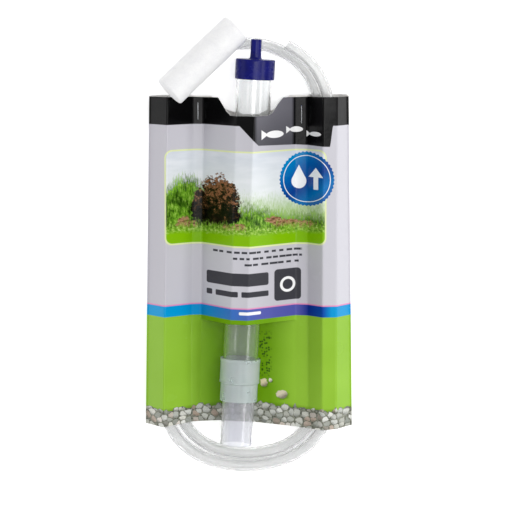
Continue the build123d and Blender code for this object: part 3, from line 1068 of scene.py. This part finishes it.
def make_intake():
    clear = clear_plastic("clear_tube", srgb(250, 252, 252), 0.95, 0.06)
    foot_clear = clear_plastic("clear_foot", srgb(232, 233, 242), 0.81, 0.05)
    milky = milky_plastic()
    navy = blue_plastic()
    white = moulded_white()

    tube = lathe("intake", tube_profile(outer=12.15, inner=10.75, low=-78.0, high=133.7))
    tube.materials.append(clear)
    add_object("clear_tube", tube, "intake", ["intake_tube"], smooth=40)

    foot = lathe("foot", tube_profile(outer=11.25, inner=9.95, low=-127.0, high=-89.0))
    foot.materials.append(foot_clear)
    add_object("foot", foot, "foot", ["foot_tube"], smooth=40)

    sleeve = soften(
        [
            (11.3, -96.0),
            (13.0, -96.0),
            (13.0, -83.6),
            (13.95, -83.0),
            (13.95, -82.0),
            (13.8, -81.6),
            (13.8, -68.4),
            (14.0, -68.0),
            (14.0, -66.0),
            (12.2, -66.0),
            (12.2, -78.05),
            (11.27, -78.05),
            (11.27, -88.05),
            (10.4, -88.05),
            (10.4, -88.95),
            (11.3, -88.95),
        ],
        SLEEVE_EDGE,
        closed=True,
    )
    mesh = lathe("sleeve", sleeve)
    mesh.materials.append(milky)
    add_object("coupling", mesh, "coupling", ["coupling_sleeve"], smooth=40)

    cap = soften(
        [
            (12.2, 128.2),
            (13.75, 128.2),
            (13.75, 142.2),
            (4.6, 142.2),
            (3.9, 143.4),
            (3.75, 146.0),
            (3.68, 155.9),
            (2.6, 155.9),
            (2.6, 140.2),
            (12.2, 140.2),
        ],
        CAP_EDGE,
        steps=6,
        closed=True,
    )
    mesh = lathe("cap", cap)
    mesh.materials.append(navy)
    add_object("cap", mesh, "outlet", ["outlet_cap"], smooth=35)

    inner = {"guard_grille": white, "valve_seat": milky, "valve_cage": milky, "valve_plate": white}
    for node, mat in inner.items():
        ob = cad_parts[node]
        ob.data.materials.clear()
        ob.data.materials.append(mat)


make_intake()


# ---- sponge ----------------------------------------------------------------------------
SPONGE_LOW = (-54.7, 119.7, 33.4)
SPONGE_HIGH = (-8.9, 163.4, 21.6)
SPONGE_R = 11.5
SPONGE_EDGE = 1.6
SPONGE_STEP = 1.1  # between its rings of points


def make_sponge():
    low, high = on_card(*SPONGE_LOW), on_card(*SPONGE_HIGH)
    long = (high - low).length
    turn = (high - low).to_track_quat("Z", "Y")
    r = SPONGE_R * MM
    half = [(0, 0), (r, 0), (r, long), (0, long)]
    outline = soften(half, SPONGE_EDGE * MM, steps=5, pad=0.2 * MM)
    profile = []
    for a, b in zip(outline, outline[1:]):
        profile.append(a)
        parts = max(1, int((b - a).length / (SPONGE_STEP * MM)))
        for k in range(1, parts):
            profile.append(a.lerp(b, k / parts))
    profile = profile[1:]
    around = 72
    points = [low.copy()]
    for ring_r, z in profile:
        for k in range(around):
            a = 2 * math.pi * k / around
            p = Vector((ring_r * math.cos(a), ring_r * math.sin(a), z))
            dent = noise.noise(p * 90) * 0.35 + noise.noise(p * 400) * 0.12
            shrink = 1 - (0.25 + abs(dent)) / SPONGE_R
            p.x *= shrink
            p.y *= shrink
            points.append(low + turn @ p)
    points.append(high.copy())
    last = len(points) - 1
    rows = len(profile)
    faces = [(0, 1 + (k + 1) % around, 1 + k) for k in range(around)]
    for i in range(rows - 1):
        for k in range(around):
            n = (k + 1) % around
            a, b = 1 + i * around, 1 + (i + 1) * around
            faces.append((a + k, a + n, b + n, b + k))
    top = 1 + (rows - 1) * around
    faces += [(top + k, top + (k + 1) % around, last) for k in range(around)]
    mesh = mesh_from("sponge", points, faces)
    outward(mesh)
    mesh.materials.append(melamine_foam())
    ob = add_object("sponge", mesh, "sponge", ["cleaning_sponge"], smooth=60)


make_sponge()


# ---- card ------------------------------------------------------------------------------
TOP_Y, BOTTOM_Y, SLIT_Y = 115.0, -115.0, -40.3
SHEET = 0.5
THICK = 0.38
FRONT_CREASE = 1.1
BACK_CREASE = 1.2
CREASE_STEPS = 4
FLAT_PARTS = 7
WAVES = 0.3
HELD_Z = 9.5  # up to this height the card lies still,
FREE_BY = 5.0  # and this much higher it waves fully
LEFT_TOP = [(-69.4, 9.5), (-68.4, 9.5), (-56.2, 25.0), (-38.7, 8.0), (-31.3, 8.0)]
LEFT_BOTTOM = [(-72.7, 9.5), (-71.7, 9.5), (-59.8, 26.5), (-41.2, 10.4), (-34.7, 8.0)]
RIGHT_TOP = [(32.1, 8.0), (40.4, 8.0), (51.1, 25.0), (61.1, 24.0), (68.4, 9.5), (69.4, 9.5)]
RIGHT_BOTTOM = [(33.0, 14.0), (41.4, 17.0), (51.1, 26.5), (60.9, 25.0), (71.4, 9.5), (72.4, 9.5)]
TENT_TOP = [(-8.5, 36.5), (4.3, 43.5)]
TENT_BOTTOM = [(-14.5, 41.5), (-3.5, 43.5)]
TRAY = [(-33.0, 8.0), (3.0, 8.0)]
BACK_TOP = [(-69.4, 9.0), (-68.4, 9.0), (-63.5, 0.0), (-44.5, 0.0), (-38.7, 7.5)]
BACK_TOP += [(40.4, 7.5), (44.0, 0.0), (63.5, 0.0), (68.4, 9.0), (69.4, 9.0)]
BACK_BOTTOM = [(-72.7, 9.0), (-71.7, 9.0), (-66.5, 0.0), (-40.0, 0.0), (-36.8, 7.5)]
BACK_BOTTOM += [(30.0, 7.5), (33.0, 0.0), (64.0, 0.0), (71.4, 9.0), (72.4, 9.0)]
NOTCH = [(-21.4, 115.6), (-13.7, 103.4), (15.2, 103.4), (22.9, 115.6)]
FRONT_HIGH = [(-90, 115.4), (-56.2, 116.0), (-31.3, 115.3), *NOTCH]
FRONT_HIGH += [(32.0, 115.3), (51.1, 116.0), (61.1, 116.0), (90, 115.4)]
FRONT_LOW = [(-90, -114.1), (-72.6, -114.1), (-59.7, -114.3), (-41.6, -112.9), (-19.1, -112.2)]
FRONT_LOW += [(2.8, -113.3), (41.4, -116.4), (51.0, -116.4), (60.8, -115.7), (90, -115.1)]
BACK_HIGH = [(-90, 116.2), (-21.5, 116.5), (-13.7, 103.4)]
BACK_HIGH += [(15.2, 103.4), (23.0, 116.8), (90, 117.2)]
BACK_LOW = [(-90, -112.0), (90, -112.0)]


def height_on(outline, x):
    """The outline's y at x."""
    xs, ys = zip(*outline)
    return float(np.interp(x, xs, ys))


def folds_at(top, bottom, y):
    """The fold points at the height y, between those of the top and the bottom edge."""
    share = (y - BOTTOM_Y) / (TOP_Y - BOTTOM_Y)
    return [Vector(low).lerp(Vector(high), share) for high, low in zip(top, bottom, strict=True)]


def section(folds, radius):
    """The folded sheet's line with soft creases and divided flats: always as many points."""
    soft = soften(folds, radius, steps=CREASE_STEPS, pad=0.4)
    each = CREASE_STEPS + 3
    out = []
    for i, (a, b) in enumerate(zip(soft, soft[1:])):
        parts = FLAT_PARTS if i % each == 0 else 1
        out += [a.lerp(b, k / parts) for k in range(parts)]
    out.append(soft[-1])
    return out


def sheet_points(top, bottom, span, rows, radius, lift=0.0, waves=0.0):
    """Rows of points across a folded sheet, between the two heights that span gives for an x."""
    grid = []
    for r in range(rows + 1):
        share = r / rows
        level = folds_at(top, bottom, TOP_Y * share + BOTTOM_Y * (1 - share))
        row = []
        for c, start in enumerate(section(level, radius)):
            x = start.x
            # The sheet's ends aren't level and its folds slant, so x and y settle together
            for _ in range(3):
                low, high = span(x)
                y = low + (high - low) * share
                at = section(folds_at(top, bottom, y), radius)[c]
                x = at.x
            z = at.y + lift
            row.append((x, y, z + ripple(x, y, z, waves)))
        grid.append(row)
    return grid


def ripple(x, y, z, waves):
    """The card's own unevenness, none where it is held flat."""
    free = min(1.0, max(0.0, (z - HELD_Z) / FREE_BY))
    return free * waves * (noise.noise(Vector((x * 0.045, y * 0.02, 3.1))) - 0.4)


def grid_mesh(name, grids):
    """One mesh from grids of points on the card's axes, joined where they meet."""
    points, faces = [], []
    for grid in grids:
        base = len(points)
        wide = len(grid[0])
        for row in grid:
            points += [on_card(*p) for p in row]
        for r in range(len(grid) - 1):
            for c in range(wide - 1):
                a = base + r * wide + c
                faces.append((a, a + 1, a + 1 + wide, a + wide))
    mesh = mesh_from(name, points, faces)
    bm = bmesh.new()
    bm.from_mesh(mesh)
    bmesh.ops.remove_doubles(bm, verts=bm.verts, dist=0.03 * MM)
    bm.to_mesh(mesh)
    bm.free()
    return mesh


def thicken(ob):
    """Gives a sheet its thickness, with its second material inside and on its cut edges."""
    mod = ob.modifiers.new("thick", "SOLIDIFY")
    mod.thickness = THICK * MM
    mod.offset = -1
    mod.use_rim = True
    mod.material_offset = 1
    mod.material_offset_rim = 1
    done = bpy.data.meshes.new_from_object(ob.evaluated_get(bpy.context.evaluated_depsgraph_get()))
    ob.modifiers.clear()
    old = ob.data
    ob.data = done
    bpy.data.meshes.remove(old)
    done.shade_smooth()
    done.set_sharp_from_angle(angle=math.radians(38))


def make_sheet(name, grids, materials, node):
    mesh = grid_mesh(name, grids)
    for mat in materials:
        mesh.materials.append(mat)
    thicken(add_object(name, mesh, "pack", [node]))


def make_card():
    """The front sheet, its middle in two levels above and below the slit, and the back sheet."""
    board = grey_board()

    def upper_span(x):
        return SLIT_Y, height_on(FRONT_HIGH, x)

    def lower_span(x):
        return height_on(FRONT_LOW, x), SLIT_Y

    def back_span(x):
        return height_on(BACK_LOW, x), height_on(BACK_HIGH, x)

    top = LEFT_TOP + TENT_TOP + RIGHT_TOP
    bottom = LEFT_BOTTOM + TENT_BOTTOM + RIGHT_BOTTOM
    upper = sheet_points(top, bottom, upper_span, 44, FRONT_CREASE, SHEET, WAVES)
    top = LEFT_TOP + TRAY + RIGHT_TOP
    bottom = LEFT_BOTTOM + TRAY + RIGHT_BOTTOM
    lower = sheet_points(top, bottom, lower_span, 26, FRONT_CREASE, SHEET, WAVES)
    print_and_board = (printed_front(), board)
    make_sheet("front_sheet", [upper, lower], print_and_board, "card_front")

    back = sheet_points(BACK_TOP, BACK_BOTTOM, back_span, 60, BACK_CREASE)
    # Its rows run the other way, so that its printed side is underneath
    back = [row[::-1] for row in back]
    make_sheet("back_sheet", [back], (printed_back(), board), "card_back")


make_card()


# ---- staples ---------------------------------------------------------------------------
STAPLE_R = 0.24
STAPLE_BORE_R = 0.02  # tube_along leaves one; this is too thin to see
STAPLE_HALF = 6.05
STAPLE_END = 1.6  # how far from the middle its turned ends reach


def make_staple(name, node, wire):
    """A bent wire in the box of its CAD node: crown in front, legs through, ends turned in."""
    low, high = (Vector(c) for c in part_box(node))
    mid = (low + high) / 2
    base = Vector((mid.x, mid.y, 0))
    along = (on_card(0, 1, 0) - on_card(0, 0, 0)).normalized()
    top, under = high.z / MM - STAPLE_R, low.z / MM + STAPLE_R
    half = [(STAPLE_HALF, top), (STAPLE_HALF, under), (STAPLE_END, under)]
    bent = soften([(-s, z) for s, z in half[::-1]] + half, 0.45, steps=4, pad=0.05)
    line = [base + along * (s * MM) + Vector((0, 0, z * MM)) for s, z in bent]
    mesh = tube_along(name, line, (STAPLE_R * MM, STAPLE_BORE_R * MM), around=12)
    mesh.materials.append(wire)
    add_object(name, mesh, "pack", [node], smooth=50)


wire = staple_wire()
make_staple("left_staple", "staple_left", wire)
make_staple("right_staple", "staple_right", wire)
